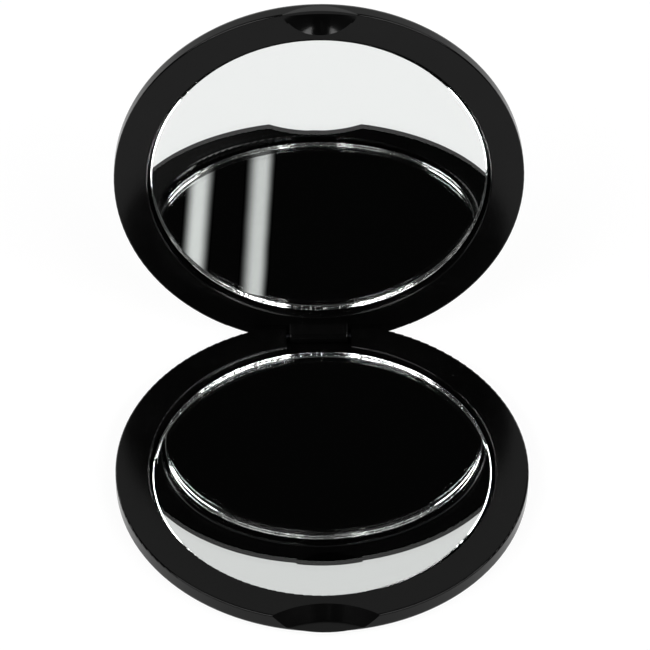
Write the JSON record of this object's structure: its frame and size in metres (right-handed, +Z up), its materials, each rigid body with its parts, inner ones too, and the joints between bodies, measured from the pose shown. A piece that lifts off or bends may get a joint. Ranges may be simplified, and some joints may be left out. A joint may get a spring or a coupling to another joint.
{
  "type": "compact mirror",
  "caption": "Round folding compact in black moulded plastic, with a round glass mirror recessed in each half, a pinned rear hinge and thumb notches at the front.",
  "frame": {"origin": "centre of the flat underside of the base", "axes": "+Z up from the base, +X to the right when facing the mirrors, +Y towards the hinge at the back"},
  "size_m": [0.07, 0.0804, 0.0707],
  "materials": {
    "black_plastic": "moulded ABS, satin gloss",
    "pin_steel": "blued drawn steel wire",
    "mirror_glass": "clear float glass with a ground edge",
    "silvering": "silver under grey backing paint",
    "foam_pad": "double-sided adhesive foam"
  },
  "bodies": {
    "base": {"base_shell": "black_plastic", "hinge_pin": "pin_steel", "lower_mirror_glass": "mirror_glass", "lower_mirror_silvering": "silvering", "lower_adhesive_pad": "foam_pad"},
    "lid": {"lid_shell": "black_plastic", "upper_mirror_glass": "mirror_glass", "upper_mirror_silvering": "silvering", "upper_adhesive_pad": "foam_pad"}
  },
  "joints": [
    {"name": "lid_hinge", "type": "hinge", "parent": "base", "child": "lid", "pos_m": [0, 0.0325, 0.00345], "axis": [1, 0, 0], "range_deg": [0, 96.2]}
  ]
}
